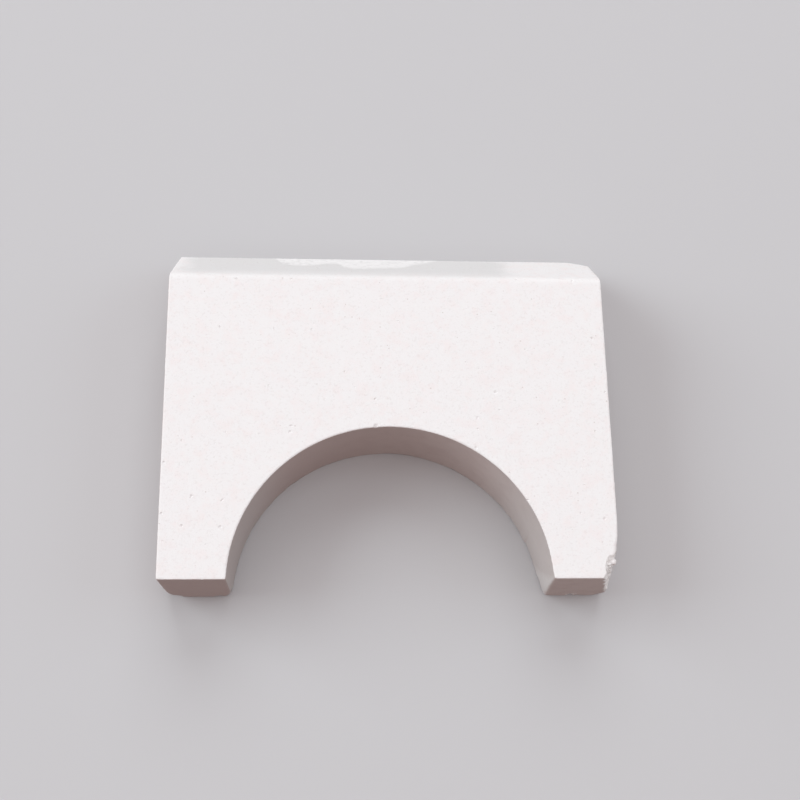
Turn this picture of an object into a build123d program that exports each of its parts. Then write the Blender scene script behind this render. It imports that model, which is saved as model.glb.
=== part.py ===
"""Arched firebrick: one cast refractory plate for lining a stove.

It lies flat on its bed face. X runs along the length, Y across the depth with the
arch on the -Y side and the bevelled edge on the +Y side, and Z is up. The origin is
the middle of the bed face's bounding rectangle. Sizes are in millimetres.
"""

import os

from build123d import *

# Driving dimensions
length = 200.0
depth = 165.0
thickness = 40.0

# Arch: a round notch in the front edge, its centre a little outside that edge
arch_radius = 70.5
arch_centre_outside = 1.5

# Bevel along the upper back edge
bevel_run = 22.5
bevel_drop = 27.0


def plan_outline():
    """The brick seen from above: a rectangle with the arch taken out of its front."""
    front = -depth / 2
    slab = Rectangle(length, depth)
    arch = Pos(0, front - arch_centre_outside) * Circle(arch_radius)
    return slab - arch


def firebrick():
    """The plan outline at full thickness, with the upper back edge bevelled."""
    block = extrude(plan_outline(), amount=thickness)
    upper_edges = block.faces().sort_by(Axis.Z)[-1].edges()
    back_edge = upper_edges.sort_by(Axis.Y)[-1]
    back_face = block.faces().sort_by(Axis.Y)[-1]
    return chamfer(back_edge, bevel_drop, bevel_run, reference=back_face)


os.makedirs("parts", exist_ok=True)
export_step(firebrick(), "parts/firebrick.step")
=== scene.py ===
# The frame
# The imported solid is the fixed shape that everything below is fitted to. Its box is kept so that
# the dressed brick can be set against it at the end.
import bmesh
import bpy
import numpy as np
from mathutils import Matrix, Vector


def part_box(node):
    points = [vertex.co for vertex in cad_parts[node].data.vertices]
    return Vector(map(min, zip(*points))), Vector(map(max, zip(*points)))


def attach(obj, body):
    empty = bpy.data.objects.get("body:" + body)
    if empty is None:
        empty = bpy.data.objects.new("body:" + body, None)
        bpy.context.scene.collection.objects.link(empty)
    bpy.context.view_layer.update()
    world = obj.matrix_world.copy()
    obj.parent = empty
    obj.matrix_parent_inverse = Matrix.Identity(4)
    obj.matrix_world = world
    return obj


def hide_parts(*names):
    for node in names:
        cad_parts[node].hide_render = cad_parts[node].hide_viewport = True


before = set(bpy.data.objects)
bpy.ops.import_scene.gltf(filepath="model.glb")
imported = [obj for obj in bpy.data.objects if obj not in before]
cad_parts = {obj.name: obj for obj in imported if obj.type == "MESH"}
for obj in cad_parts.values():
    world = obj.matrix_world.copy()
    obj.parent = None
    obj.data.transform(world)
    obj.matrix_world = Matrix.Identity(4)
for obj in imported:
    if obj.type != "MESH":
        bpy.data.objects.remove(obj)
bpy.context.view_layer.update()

MM = 0.001
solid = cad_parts["firebrick"]
box_low, box_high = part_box("firebrick")
half_length = (box_high[0] - box_low[0]) / 2 / MM
half_depth = (box_high[1] - box_low[1]) / 2 / MM
thickness = (box_high[2] - box_low[2]) / MM
left, right = -half_length, half_length
front, back = -half_depth, half_depth
arch_radius = 70.5
arch_set_out = 1.5
arch_centre_y = front - arch_set_out
bevel_run = 22.5
bevel_drop = 27.0
crease_y = back - bevel_run
lip_z = thickness - bevel_drop

# How widely two faces are eased into each other where they meet, in millimetres
upright_edge_blend = 0.7
upper_edge_blend = 0.6
crease_blend = 2.0
bed_edge_blend = 0.6
foot_edge_blend = 2.2
crisp_blend = 0.7
soft_blend = 1.6

# The upper edges' blend varies along them, from a least share of it up by a spread
upper_edge_least = 0.6
upper_edge_spread = 0.8

# The edge round the bed face crumbles where the coarse lumps are high, and the feet's lower edges
# are worn rounder, fading out towards the reach
bed_edge_crumble = 3.0
crumble_gain = 2.0
crumble_start = 0.9
crumble_least = 0.3
foot_reach = 7.0
foot_fade = 5.0

# Broken and worn corners. Each has a blend, a roughness and one or more facets, and a facet is given
# by three points that the break runs through. The brick is whole wherever one facet leaves it whole.
corner_breaks = {
    "right_foot_outer": (crisp_blend, 1.0, [
        ((93.1, front + 1.2, thickness), (93.7, front + 7.1, thickness), (95.0, front + 4.3, 33.0)),
        ((94.0, front + 4.3, 33.0), (right, front + 7.9, 27.6), (right, front + 2.9, 17.4)),
    ]),
    "right_foot_flake": (soft_blend, 0.3, [
        ((right, front + 19.0, thickness), (98.3, front + 10.5, thickness), (right, front + 11.5, 32.0)),
    ]),
    "right_foot_inner": (soft_blend, 0.12, [
        ((73.2, front, 0.0), (70.0, front + 10.0, 0.0), (70.8, front, 34.0)),
    ]),
    "right_foot_bed": (soft_blend, 0.4, [
        ((95.8, front, 0.6), (right, front + 3.5, 0.6), (right, front, 7.0)),
    ]),
    "left_foot_inner": (soft_blend, 0.12, [
        ((-73.2, front, 0.0), (-70.2, front + 3.5, 0.0), (-70.5, front, 10.0)),
    ]),
    "left_foot_bed": (crisp_blend, 0.3, [
        ((-98.2, front, 6.2), (-93.2, front, 3.8), (-96.0, front + 6.0, 0.0)),
        ((-93.0, front, 0.0), (-93.0, front, 6.0), (-93.8, front + 4.0, 0.0)),
    ]),
    "left_foot_edge": (soft_blend, 0.25, [
        ((left, front, 29.0), (-98.3, front, 5.0), (left, front + 1.8, 5.0)),
    ]),
    "back_left": (crisp_blend, 0.2, [
        ((-98.4, back, lip_z), (left, crease_y, thickness), (-98.9, back, 3.0)),
    ]),
    "back_right": (crisp_blend, 0.3, [
        ((91.4, back, lip_z), (right, back - 4.6, 18.5), (right, back, 4.0)),
    ]),
}

# A break keeps within a reach of its first point. The middle of a leg, this far out, tells which
# side of a facet is whole. A facet is rough in medium and in fine lumps.
break_reach = 26.0
leg_middle = 85.0
medium_roughness = 1.6
fine_roughness = 0.6

# Uneven smear of paler slip along the outer edge of the bevel: its width across the length. Its edge
# ripples and fades, and it is slightly sunk, less so near the lip.
smear_x = (-57.0, -53.1, -49.1, -43.5, -37.4, -29.6, -22.9, -19.5, -15.5, -3.9, 8.3, 13.5, 21.4, 28.0)
smear_width = (0.0, 2.1, 8.1, 11.0, 11.1, 8.2, 7.9, 12.5, 14.4, 13.1, 11.8, 8.1, 5.2, 0.0)
smear_ripple = 1.0
smear_fade = 3.0
smear_recess = 0.35
smear_relief = 0.2
smear_lip = 4.0

# Small nicks, one in the arch's upper edge and the rest under the feet: centre and radius
nicks = [
    ((-5.9, front + 69.2, thickness), 0.8),
    ((85.2, front - 0.6, 3.2), 2.6),
    ((89.8, front - 0.9, 1.0), 2.0),
    ((-76.5, front - 0.9, 1.6), 2.2),
]

# A coarse grain left standing out of the broken corner: centre and radius. Its radius and the nicks'
# vary with the fine and the medium lumps.
standing_grain = ((97.5, front + 8.1, 37.2), 1.5)
fine_unevenness = 0.4
medium_unevenness = 0.6

# Random lumps that the wear follows: their sizes, and the lattice of random numbers they come from
lump_sizes = {"fine": 1.2, "medium": 2.5, "coarse": 5.0}
lump_mean = 0.5
lattice_seed = 11
lattice_side = 64
lattice = np.random.default_rng(lattice_seed).random((lattice_side,) * 3).astype(np.float32)


def grit(points, grain):
    """Smooth random lumps from 0 to 1, about a grain across."""
    at = points / grain
    cell = np.floor(at).astype(int)
    part = at - cell
    part = part * part * (3 - 2 * part)
    total = np.zeros(len(points))
    for corner in np.ndindex(2, 2, 2):
        share = np.prod(np.where(corner, part, 1 - part), axis=1)
        i, j, k = ((cell + corner) % lattice_side).T
        total += share * lattice[i, j, k]
    return total


def lumps_at(points):
    """Random lumps of the three sizes."""
    return {name: grit(points, size) for name, size in lump_sizes.items()}


def both(a, b, blend):
    """The overlap of two solids' distances, its edge eased over the blend width."""
    reach = np.maximum(blend - np.abs(a - b), 0) / blend
    return np.maximum(a, b) + reach * reach * blend / 4


def break_distance(points, lumps, roughness, facets):
    """Distance outside the rough facets that a corner broke along, within reach of that corner."""
    medium = (lumps["medium"] - lump_mean) * medium_roughness
    rough = medium + (lumps["fine"] - lump_mean) * fine_roughness
    gone = break_reach - np.hypot(*(points - facets[0][0])[:, :2].T)
    for first, second, third in np.array(facets):
        outward = np.cross(second - first, third - first)
        outward /= np.linalg.norm(outward)
        heart = np.array((np.sign(first[0]) * leg_middle, 0.0, thickness / 2))
        outward *= np.sign(outward @ (first - heart))
        gone = np.minimum(gone, (points - first) @ outward + rough * roughness)
    return gone


def smear(points, lumps):
    """How far inside the smear a point lies, from 0 outside it to 1."""
    width = np.interp(points[:, 0], smear_x, smear_width) + (lumps["medium"] - lump_mean) * smear_ripple
    return np.clip((points[:, 1] - half_depth + width) / smear_fade, 0, 1) * np.clip(width, 0, 1)


def worn_distance(points, lumps):
    """Distance outside the worn brick, negative inside it."""
    x, y, z = points.T
    fine, medium, coarse = lumps["fine"], lumps["medium"], lumps["coarse"]
    ends = np.abs(x) - half_length
    front_back = np.abs(y) - half_depth
    arch = arch_radius - np.hypot(x, y - arch_centre_y)
    upright = both(both(ends, front_back, upright_edge_blend), arch, upright_edge_blend)
    bevel_width = np.hypot(bevel_run, bevel_drop)
    bevel = ((y - crease_y) * bevel_drop + (z - thickness) * bevel_run) / bevel_width
    off_lip = np.clip((half_depth - y) / smear_lip, 0, 1)
    sunk = smear_recess + smear_relief * (fine - lump_mean)
    bevel = bevel + smear(points, lumps) * off_lip * sunk
    upper = both(z - thickness, bevel, crease_blend)
    shape = both(upright, upper, upper_edge_blend * (upper_edge_least + upper_edge_spread * fine))
    patches = np.clip(coarse * crumble_gain - crumble_start, 0, 1)
    crumble = patches * (crumble_least + (1 - crumble_least) * medium)
    at_foot = np.clip((front + foot_reach - y) / foot_fade, 0, 1)
    bed_blend = bed_edge_blend + (foot_edge_blend - bed_edge_blend) * at_foot
    shape = both(shape, -z, bed_blend + bed_edge_crumble * crumble)
    for blend, roughness, facets in corner_breaks.values():
        shape = both(shape, break_distance(points, lumps, roughness, facets), blend)
    uneven = 1.0 + fine_unevenness * (fine - lump_mean) + medium_unevenness * (medium - lump_mean)
    for centre, radius in nicks:
        shape = both(shape, radius * uneven - np.linalg.norm(points - centre, axis=1), crisp_blend)
    centre, radius = standing_grain
    return np.minimum(shape, np.linalg.norm(points - centre, axis=1) - radius * uneven)


# Points move along the slope of the distance, which is taken over a small step and kept from being
# too flat to follow
slope_step = 0.05
least_slope = 0.3


def settle(points, rounds):
    """Moves points onto the worn surface."""
    for _ in range(rounds):
        lumps = lumps_at(points)
        away = worn_distance(points, lumps)
        rises = [worn_distance(points + slope_step * axis, lumps) - away for axis in np.eye(3)]
        slope = np.stack(rises, axis=1)
        steep = np.maximum(np.linalg.norm(slope, axis=1), least_slope * slope_step)
        points = points - slope * (away * slope_step / steep**2)[:, None]
    return points


def evaluated_copy(obj):
    """The object's mesh with its modifiers applied."""
    bpy.context.view_layer.update()
    return bpy.data.meshes.new_from_object(obj.evaluated_get(bpy.context.evaluated_depsgraph_get()))


def places_of(mesh):
    """Where a mesh's points lie, in metres."""
    flat = np.empty(len(mesh.vertices) * 3, dtype=np.float32)
    mesh.vertices.foreach_get("co", flat)
    return flat.reshape(-1, 3)


def move_to(mesh, places):
    """Moves a mesh's points to new places, in metres."""
    mesh.vertices.foreach_set("co", places.astype(np.float32).ravel())


merge_distance = 0.01
cast_mesh = solid.data.copy()
cast = bmesh.new()
cast.from_mesh(cast_mesh)
bmesh.ops.remove_doubles(cast, verts=cast.verts, dist=merge_distance * MM)
cast.to_mesh(cast_mesh)
cast.free()
brick = bpy.data.objects.new("brick", cast_mesh)
bpy.context.collection.objects.link(brick)

# The solid is given a fine even skin and worn down, and then a finer one to follow the wear closely:
# the skin's grid in millimetres, and the rounds of wear
skins = ((0.8, 4), (0.5, 3))
lowest = np.array((left, front, 0.0))
highest = np.array((right, back, thickness))
for grid, rounds in skins:
    skin = brick.modifiers.new("skin", "REMESH")
    skin.mode = "VOXEL"
    skin.voxel_size = grid * MM
    brick.data = evaluated_copy(brick)
    brick.modifiers.clear()
    worn = settle(places_of(brick.data).astype(float) / MM, rounds)
    worn = np.clip(worn, lowest, highest)
    move_to(brick.data, worn * MM)

# A point counts as on a break up to a number of fade widths from it. Chips are less fresh than the
# break, the smear fades out at the lip, and grains need some room inside the brick's box.
break_fade = 0.4
break_widths = 1.6
chip_freshness = 0.35
lip_fade = 0.8
least_grain_room = 0.5
lumps = lumps_at(worn)


def on_break(name):
    """How surely each point of the brick lies on a break, from 0 to 1."""
    roughness, facets = corner_breaks[name][1:]
    away = np.abs(break_distance(worn, lumps, roughness, facets))
    return np.clip(break_widths - away / break_fade, 0, 1)


def paint(name, amounts):
    """Keeps a number for each point of the brick."""
    layer = brick.data.attributes.new(name, "FLOAT", "POINT")
    layer.data.foreach_set("value", amounts.astype(np.float32))


broken = on_break("right_foot_outer")
chipped = np.maximum(on_break("left_foot_inner"), on_break("right_foot_inner"))
above_lip = np.clip((worn[:, 2] - lip_z) / lip_fade, 0, 1)
room = np.minimum(worn - lowest, highest - worn).min(axis=1)
paint("grain_bed", broken * (room > least_grain_room))
paint("room", room * MM)
paint("fresh", np.maximum(broken, chip_freshness * chipped))
paint("smear", smear(worn, lumps) * above_lip)

# Pores in the brick's faces, pressed in as small round pits. They lie mostly in level faces, few of
# them are large, and each is nearly as deep as its radius.
refractory = bpy.data.materials.new("refractory")
pore_inputs = {
    "Pores per square metre": ("NodeSocketFloat", 7500.0),
    "Smallest radius": ("NodeSocketFloat", 0.28 * MM),
    "Largest radius": ("NodeSocketFloat", 0.7 * MM),
    "Seed": ("NodeSocketInt", 5),
    "Finish": ("NodeSocketMaterial", refractory),
}
pore_levelness = 4.0
pore_rarity = 5.0
pore_depth = 0.9


def new_tree(name, result, inputs):
    """A geometry tree that takes the brick and its named inputs, and gives a result."""
    tree = bpy.data.node_groups.new(name, "GeometryNodeTree")
    tree.interface.new_socket("Brick", in_out="INPUT", socket_type="NodeSocketGeometry")
    for label, (kind, _) in inputs.items():
        tree.interface.new_socket(label, in_out="INPUT", socket_type=kind)
    tree.interface.new_socket(result, in_out="OUTPUT", socket_type="NodeSocketGeometry")
    return tree


def use_tree(obj, tree, inputs):
    """Puts a geometry tree on an object, with its inputs set by their identifiers."""
    made = obj.modifiers.new(tree.name, "NODES")
    made.node_group = tree
    for socket in tree.interface.items_tree:
        if socket.name in inputs:
            made[socket.identifier] = inputs[socket.name][1]


def feed(tree, slot, value):
    """Links a socket to a slot, or sets a plain value on it."""
    if isinstance(value, bpy.types.NodeSocket):
        tree.links.new(value, slot)
    else:
        slot.default_value = value


def node(tree, kind, feeds=None, **settings):
    """A node with its settings made and its slots fed."""
    made = tree.nodes.new(kind)
    for key, value in settings.items():
        setattr(made, key, value)
    for slot, value in (feeds or {}).items():
        feed(tree, made.inputs[slot], value)
    return made


def sum_node(tree, operation, *terms):
    """What a math node makes of sockets and numbers."""
    return node(tree, "ShaderNodeMath", dict(enumerate(terms)), operation=operation).outputs[0]


def strewn(tree, given, crowding):
    """Points strewn over the brick."""
    made = node(tree, "GeometryNodeDistributePointsOnFaces",
                {"Mesh": given["Brick"], "Density": crowding, "Seed": given["Seed"]},
                distribute_method="RANDOM")
    return made.outputs["Points"]


def pushed(tree, geometry, distance):
    """A geometry with its points moved along their normals."""
    normal = node(tree, "GeometryNodeInputNormal").outputs[0]
    offset = node(tree, "ShaderNodeVectorMath", {0: normal, "Scale": distance}, operation="SCALE")
    made = node(tree, "GeometryNodeSetPosition", {"Geometry": geometry, "Offset": offset.outputs[0]})
    return made.outputs[0]


def keep(tree, geometry, name, value):
    """A geometry with a number kept on its points."""
    made = node(tree, "GeometryNodeStoreNamedAttribute",
                {"Geometry": geometry, "Name": name, "Value": value}, data_type="FLOAT", domain="POINT")
    return made.outputs[0]


def read(tree, name):
    """A number that is kept on a geometry's points."""
    return node(tree, "GeometryNodeInputNamedAttribute", {"Name": name}, data_type="FLOAT").outputs[0]


pore_tree = new_tree("pores", "Brick", pore_inputs)
given = node(pore_tree, "NodeGroupInput").outputs
normal = node(pore_tree, "GeometryNodeInputNormal").outputs[0]
upward = node(pore_tree, "ShaderNodeSeparateXYZ", {0: normal}).outputs["Z"]
level = sum_node(pore_tree, "POWER", upward, pore_levelness)
crowding = sum_node(pore_tree, "MULTIPLY", level, given["Pores per square metre"])
chance = node(pore_tree, "FunctionNodeRandomValue", {"Seed": given["Seed"]}, data_type="FLOAT").outputs[1]
few_large = sum_node(pore_tree, "POWER", chance, pore_rarity)
spread = sum_node(pore_tree, "SUBTRACT", given["Largest radius"], given["Smallest radius"])
radius = sum_node(pore_tree, "MULTIPLY_ADD", few_large, spread, given["Smallest radius"])
pore_points = keep(pore_tree, strewn(pore_tree, given, crowding), "pore_radius", radius)
nearest = node(pore_tree, "GeometryNodeSampleNearest", {"Geometry": pore_points}, domain="POINT").outputs[0]
near_radius = node(
    pore_tree, "GeometryNodeSampleIndex",
    {"Geometry": pore_points, "Value": read(pore_tree, "pore_radius"), "Index": nearest},
    data_type="FLOAT", domain="POINT").outputs[0]
gap = node(pore_tree, "GeometryNodeProximity", {0: pore_points}, target_element="POINTS").outputs["Distance"]
share = sum_node(pore_tree, "DIVIDE", gap, near_radius)
falling = sum_node(pore_tree, "SUBTRACT", 1.0, sum_node(pore_tree, "MULTIPLY", share, share))
bowl = sum_node(pore_tree, "MAXIMUM", falling, 0.0)
deepest = sum_node(pore_tree, "MULTIPLY", near_radius, -pore_depth)
pitted = pushed(pore_tree, given["Brick"], sum_node(pore_tree, "MULTIPLY", bowl, deepest))
# How far into a pit each point lies is kept, for the painted shade in the pits
marked = keep(pore_tree, pitted, "pit", bowl)
real = node(pore_tree, "GeometryNodeRealizeInstances", {0: marked}).outputs[0]
finished = node(pore_tree, "GeometryNodeSetMaterial", {"Geometry": real, "Material": given["Finish"]})
node(pore_tree, "NodeGroupOutput", {0: finished.outputs[0]})
use_tree(brick, pore_tree, pore_inputs)

# The skin is thinned to what its shape needs, and held inside the solid's box
kept_share = 0.25
thin = brick.modifiers.new("thin", "DECIMATE")
thin.ratio = kept_share
thin.use_collapse_triangulate = True
brick.data = evaluated_copy(brick)
brick.modifiers.clear()
move_to(brick.data, np.clip(places_of(brick.data), box_low, box_high))

# Fired refractory: off-white with a faint pink cast, buff on the mould walls, matt and fine-grained.
# Each tint has a colour and a strength, and they are laid over the pale body in this order. Three of
# them are painted light and shade: painted shade darkening the walls towards the left, painted light
# paling the arch's side walls to a neutral grey, and painted shade in the pits.
pale = (0.855, 0.847, 0.844, 1)
tints = {
    "rosy": ((0.86, 0.80, 0.79, 1), 0.6),
    "bevel_grey": ((0.70, 0.70, 0.695, 1), 0.8),
    "wall_buff": ((0.635, 0.532, 0.505, 1), 0.85),
    "uneven_wall": ((0.55, 0.45, 0.43, 1), 0.3),
    # Painted shade: the walls grow darker towards the left
    "left_painted_shade": ((0.55, 0.45, 0.43, 1), 0.8),
    # Painted light: the arch's side walls are paled to a neutral grey where light falls on them
    "arch_side_painted_light": ((0.63, 0.605, 0.59, 1), 0.6),
    "grain_shade": ((0.62, 0.57, 0.55, 1), 0.22),
    "speck_brown": ((0.45, 0.37, 0.33, 1), 0.4),
    "slip_white": ((0.868, 0.863, 0.858, 1), 0.95),
    "fresh_white": ((0.93, 0.92, 0.91, 1), 0.95),
    # Painted shade in the pits
    "pit_painted_shade": ((0.52, 0.46, 0.44, 1), 0.22),
}

# Soft noise: size of its features in millimetres, detail and roughness
clouds = {
    "rosy": (6.0, 5.0, 0.65),
    "wander": (9.0, 3.0, 0.55),
    "uneven_wall": (7.0, 4.0, 0.55),
    "grain_shade": (1.1, 3.0, 0.6),
    "slip": (2.5, 3.0, 0.55),
    "mattness": (2.0, 3.0, 0.55),
    "fine_grain": (0.7, 3.0, 0.6),
    "coarse_grain": (2.4, 3.0, 0.55),
    "broken_grain": (0.9, 4.0, 0.7),
}

# Where an amount starts and where it is full, on noise, on a face's direction or on a place
spans = {
    "rosy": (0.42, 0.72),
    "uneven_wall": (0.4, 0.7),
    "grain_shade": (0.52, 0.72),
    "slip": (0.2, 0.55),
    "upright": (0.45, 0.2),
    # Faces turned sideways, for the painted light on the arch's side walls
    "sideways": (0.55, 0.98),
    "bevel": ((crease_y - 4.0) * MM, (crease_y + 8.0) * MM),
    "grey_left_end": (-99.0 * MM, -88.0 * MM),
    "grey_right_end": (64.0 * MM, 50.0 * MM),
    # Where the painted shade on the walls grows, towards the left
    "shade_to_left": (60.0 * MM, -60.0 * MM),
    # Inside the arch, for the painted light on its side walls
    "in_arch": (85.0 * MM, 75.0 * MM),
    "speck": (0.13, 0.07),
    "speckled_cell": (0.80, 0.9),
}
wander_reach = 12.0
cloud_mean = 0.5
speck_spacing = 3.2
coarse_grain_height = 0.8
broken_grain_height = 2.0
refractory.use_nodes = True
tree = refractory.node_tree
place = node(tree, "ShaderNodeTexCoord").outputs["Object"]


def cloud(name):
    """One of the soft noises."""
    size, detail, roughness = clouds[name]
    slots = {"Vector": place, "Scale": 1 / (size * MM), "Detail": detail, "Roughness": roughness}
    return node(tree, "ShaderNodeTexNoise", slots).outputs["Fac"]


def over_span(value, name):
    """An amount from 0 at the start of a span to 1 where it is full."""
    start, full = spans[name]
    slots = {"Value": value, "From Min": start, "From Max": full}
    return node(tree, "ShaderNodeMapRange", slots, interpolation_type="SMOOTHSTEP").outputs[0]


def mixed(tree, share, under, over):
    """One colour laid over another by a share."""
    made = node(tree, "ShaderNodeMix", {"Factor": share}, data_type="RGBA")
    colour_slots = [slot for slot in made.inputs if slot.type == "RGBA"]
    for slot, colour in zip(colour_slots, (under, over)):
        feed(tree, slot, colour)
    return [slot for slot in made.outputs if slot.type == "RGBA"][0]


def times(*amounts):
    """Amounts multiplied together."""
    total = amounts[0]
    for amount in amounts[1:]:
        total = sum_node(tree, "MULTIPLY", total, amount)
    return total


def kept(name):
    """A number kept on the brick's points."""
    return node(tree, "ShaderNodeAttribute", attribute_name=name).outputs["Fac"]


true_normal = node(tree, "ShaderNodeNewGeometry").outputs["True Normal"]
facing = node(tree, "ShaderNodeSeparateXYZ", {0: true_normal}).outputs
across = node(tree, "ShaderNodeSeparateXYZ", {0: place}).outputs
upright_face = over_span(facing["Z"], "upright")
wander = times(sum_node(tree, "SUBTRACT", cloud("wander"), cloud_mean), wander_reach * MM)
along = sum_node(tree, "ADD", across["X"], wander)
grey_ends = times(over_span(along, "grey_left_end"), over_span(along, "grey_right_end"))
# Where the painted light on the arch's side walls goes: sideways faces inside the arch
sideways = over_span(sum_node(tree, "ABSOLUTE", facing["X"]), "sideways")
in_arch = over_span(sum_node(tree, "ABSOLUTE", across["X"]), "in_arch")
cell_slots = {"Vector": place, "Scale": 1 / (speck_spacing * MM)}
cells = node(tree, "ShaderNodeTexVoronoi", cell_slots, feature="F1").outputs
cell_tone = node(tree, "ShaderNodeSeparateColor", {0: cells["Color"]}).outputs[0]
speckled_cell = over_span(cell_tone, "speckled_cell")
amounts = {
    "rosy": over_span(cloud("rosy"), "rosy"),
    "bevel_grey": times(over_span(across["Y"], "bevel"), grey_ends),
    "wall_buff": upright_face,
    "uneven_wall": times(upright_face, over_span(cloud("uneven_wall"), "uneven_wall")),
    # Painted shade on the walls, growing towards the left
    "left_painted_shade": times(upright_face, over_span(across["X"], "shade_to_left")),
    # Painted light on the arch's side walls
    "arch_side_painted_light": times(upright_face, sideways, in_arch),
    "grain_shade": over_span(cloud("grain_shade"), "grain_shade"),
    "speck_brown": times(over_span(cells["Distance"], "speck"), speckled_cell),
    "slip_white": times(kept("smear"), over_span(cloud("slip"), "slip")),
    "fresh_white": kept("fresh"),
    # Painted shade in the pits, by how far into a pit a point lies
    "pit_painted_shade": kept("pit"),
}
colour = pale
for name, (shade, strength) in tints.items():
    colour = mixed(tree, times(amounts[name], strength), colour, shade)
mattness = node(tree, "ShaderNodeMapRange", {"Value": cloud("mattness"), "To Min": 0.82, "To Max": 0.98})
coarse_grain = times(cloud("coarse_grain"), coarse_grain_height)
broken_grain = times(kept("fresh"), cloud("broken_grain"), broken_grain_height)
whole_grain = sum_node(tree, "ADD", cloud("fine_grain"), coarse_grain)
relief = sum_node(tree, "ADD", whole_grain, broken_grain)
bump = node(tree, "ShaderNodeBump", {"Strength": 0.35, "Distance": 0.35 * MM, "Height": relief})
shader = tree.nodes["Principled BSDF"]
feed(tree, shader.inputs["Base Color"], colour)
feed(tree, shader.inputs["Roughness"], mattness.outputs[0])
feed(tree, shader.inputs["Specular IOR Level"], 0.25)
feed(tree, shader.inputs["Normal"], bump.outputs[0])
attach(brick, "root")
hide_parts("firebrick")

# Grog grains on the broken corner
# Hard pre-fired grains that stand out of the break where the finer body crumbled away. They are
# part of the cast body, so they carry its finish and go with it.
grain_inputs = {
    "Grains per square metre": ("NodeSocketFloat", 350000.0),
    "Smallest grain": ("NodeSocketFloat", 0.35 * MM),
    "Largest grain": ("NodeSocketFloat", 0.9 * MM),
    "Seed": ("NodeSocketInt", 3),
    "Finish": ("NodeSocketMaterial", refractory),
}

# A grain is a ball of this many subdivisions, swollen unevenly by noise, turned at random, squashed
# between two shapes, and no larger than a share of the room it has
grain_facets = 2
swell_scale = 1.4
swell_detail = 1.0
swell_height = 2.2
full_turn = 6.28
flattest_grain = (0.6, 0.6, 0.5)
fullest_grain = (1.0, 1.0, 0.9)
room_share = 0.55
grain_tree = new_tree("grog_grains", "Grains", grain_inputs)
given = node(grain_tree, "NodeGroupInput").outputs
crowding = sum_node(grain_tree, "MULTIPLY", read(grain_tree, "grain_bed"), given["Grains per square metre"])
ball = node(grain_tree, "GeometryNodeMeshIcoSphere", {"Radius": 1.0, "Subdivisions": grain_facets})
lumpy = node(grain_tree, "ShaderNodeTexNoise", {"Scale": swell_scale, "Detail": swell_detail})
swell = sum_node(grain_tree, "SUBTRACT", lumpy.outputs["Fac"], cloud_mean)
swollen = pushed(grain_tree, ball.outputs["Mesh"], sum_node(grain_tree, "MULTIPLY", swell, swell_height))
angular = node(grain_tree, "GeometryNodeSetShadeSmooth", {0: swollen, "Shade Smooth": False})
turn = node(grain_tree, "FunctionNodeRandomValue", {"Max": (full_turn,) * 3, "Seed": given["Seed"]},
            data_type="FLOAT_VECTOR")
size = node(grain_tree, "FunctionNodeRandomValue",
            {2: given["Smallest grain"], 3: given["Largest grain"], "Seed": given["Seed"]},
            data_type="FLOAT")
squash = node(grain_tree, "FunctionNodeRandomValue", {"Min": flattest_grain, "Max": fullest_grain},
              data_type="FLOAT_VECTOR")
fitting = sum_node(grain_tree, "MULTIPLY", read(grain_tree, "room"), room_share)
fitted = sum_node(grain_tree, "MINIMUM", size.outputs[1], fitting)
scaled = node(grain_tree, "ShaderNodeVectorMath", {0: squash.outputs[0], "Scale": fitted}, operation="SCALE")
grains = node(grain_tree, "GeometryNodeInstanceOnPoints", {
    "Points": strewn(grain_tree, given, crowding),
    "Instance": angular.outputs[0],
    "Rotation": turn.outputs[0],
    "Scale": scaled.outputs[0],
})
real = node(grain_tree, "GeometryNodeRealizeInstances", {0: grains.outputs[0]}).outputs[0]
whitened = keep(grain_tree, real, "fresh", 1.0)
finished = node(grain_tree, "GeometryNodeSetMaterial", {"Geometry": whitened, "Material": given["Finish"]})
node(grain_tree, "NodeGroupOutput", {0: finished.outputs[0]})

grog_grains = bpy.data.objects.new("grog_grains", brick.data.copy())
bpy.context.collection.objects.link(grog_grains)
use_tree(grog_grains, grain_tree, grain_inputs)
grog_grains.data = evaluated_copy(grog_grains)
grog_grains.modifiers.clear()
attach(grog_grains, "root")

# The floor
# A plain pale sheet under the brick. It is pale where the camera sees it and gives back less
# light to the brick's walls.
floor_reach = 2.5
floor_seen = (0.56, 0.56, 0.57, 1)
floor_giving_light = (0.16, 0.15, 0.15, 1)
floor_roughness = 0.9
floor_corners = [
    (-floor_reach, -floor_reach, 0),
    (floor_reach, -floor_reach, 0),
    (floor_reach, floor_reach, 0),
    (-floor_reach, floor_reach, 0),
]
floor_mesh = bpy.data.meshes.new("floor")
floor_mesh.from_pydata(floor_corners, [], [(0, 1, 2, 3)])
floor = bpy.data.objects.new("floor", floor_mesh)
bpy.context.collection.objects.link(floor)


def shown(tree):
    """1 where the camera sees a surface or sees it in a gloss, and 0 where it only gives light."""
    seen = node(tree, "ShaderNodeLightPath").outputs
    in_gloss = sum_node(tree, "MAXIMUM", seen["Is Glossy Ray"], seen["Is Transmission Ray"])
    return sum_node(tree, "MAXIMUM", seen["Is Camera Ray"], in_gloss)


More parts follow.
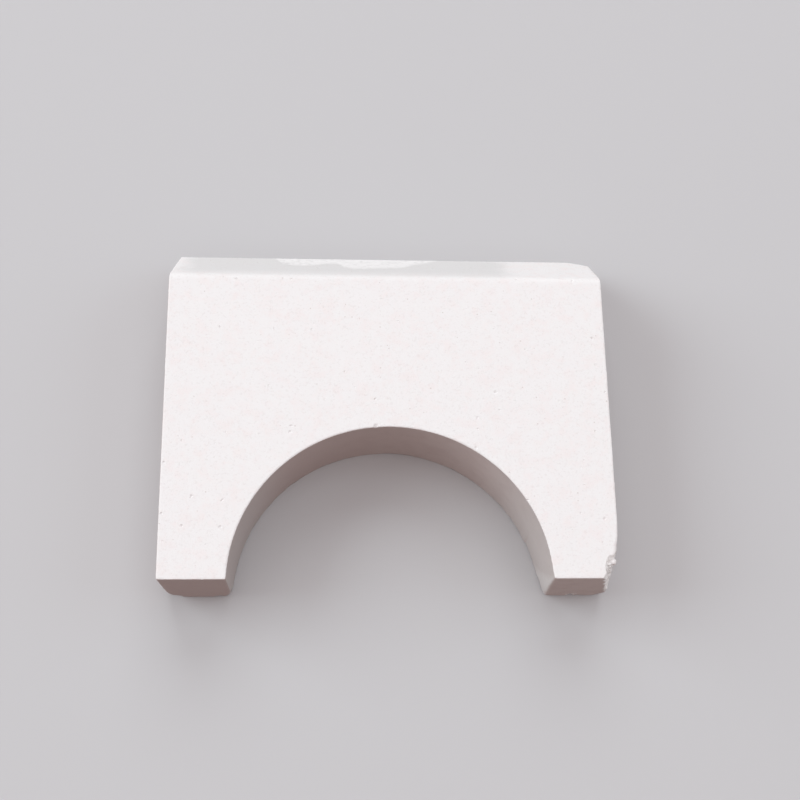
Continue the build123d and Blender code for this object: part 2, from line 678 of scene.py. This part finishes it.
paper = bpy.data.materials.new("floor_paper")
paper.use_nodes = True
tree = paper.node_tree
shader = tree.nodes["Principled BSDF"]
feed(tree, shader.inputs["Base Color"], mixed(tree, shown(tree), floor_giving_light, floor_seen))
feed(tree, shader.inputs["Roughness"], floor_roughness)
floor_mesh.materials.append(paper)

# The light
# Four large soft lamps round the brick, strong ones to its left and behind it, weak ones to its
# right and overhead, and an even warm fill.
from mathutils import Vector

lamp_size = 4.0
lamp_aim = Vector((0, 0, 0.02))
fill_seen = (0.60, 0.60, 0.61, 1)
fill_giving_light = (0.52, 0.437, 0.426, 1)

# Place in metres, power in watts and colour of each lamp
soft_lamps = {
    "left_lamp": ((-5.2, 1.2, 3.0), 200.0, (0.91, 1.0, 1.04)),
    "back_lamp": ((0.0, 4.5, 3.96), 108.0, (0.93, 1.0, 1.03)),
    "ceiling_lamp": ((1.0, 0.0, 6.0), 56.0, (0.93, 1.0, 1.03)),
    "right_lamp": ((5.2, 0.8, 3.0), 50.0, (0.80, 1.0, 1.10)),
}
for name, (spot, power, glow) in soft_lamps.items():
    lamp_data = bpy.data.lights.new(name, "AREA")
    lamp_data.shape = "SQUARE"
    lamp_data.size = lamp_size
    lamp_data.energy = power
    lamp_data.color = glow
    lamp = bpy.data.objects.new(name, lamp_data)
    bpy.context.collection.objects.link(lamp)
    lamp.location = spot
    lamp.rotation_euler = (lamp_aim - lamp.location).to_track_quat("-Z", "Y").to_euler()
world = bpy.data.worlds.new("fill")
world.use_nodes = True
tree = world.node_tree
fill = tree.nodes["Background"]
feed(tree, fill.inputs["Color"], mixed(tree, shown(tree), fill_giving_light, fill_seen))
bpy.context.scene.world = world

# The camera
# It looks steeply down on the brick from the arch side. The shift puts the brick where the
# photograph's framing has it.
camera_place = (-0.02804, -0.18427, 0.53057)
camera_turn = (16.598, -3.521, -0.891)
camera_data = bpy.data.cameras.new("camera")
camera_data.sensor_width = 36.0
camera_data.lens = 52.538
camera_data.shift_y = 0.1
camera_data.clip_start = 0.01
camera = bpy.data.objects.new("camera", camera_data)
bpy.context.collection.objects.link(camera)
camera.location = camera_place
camera.rotation_euler = tuple(np.radians(camera_turn))
bpy.context.scene.camera = camera
bpy.context.scene.view_settings.view_transform = "Standard"
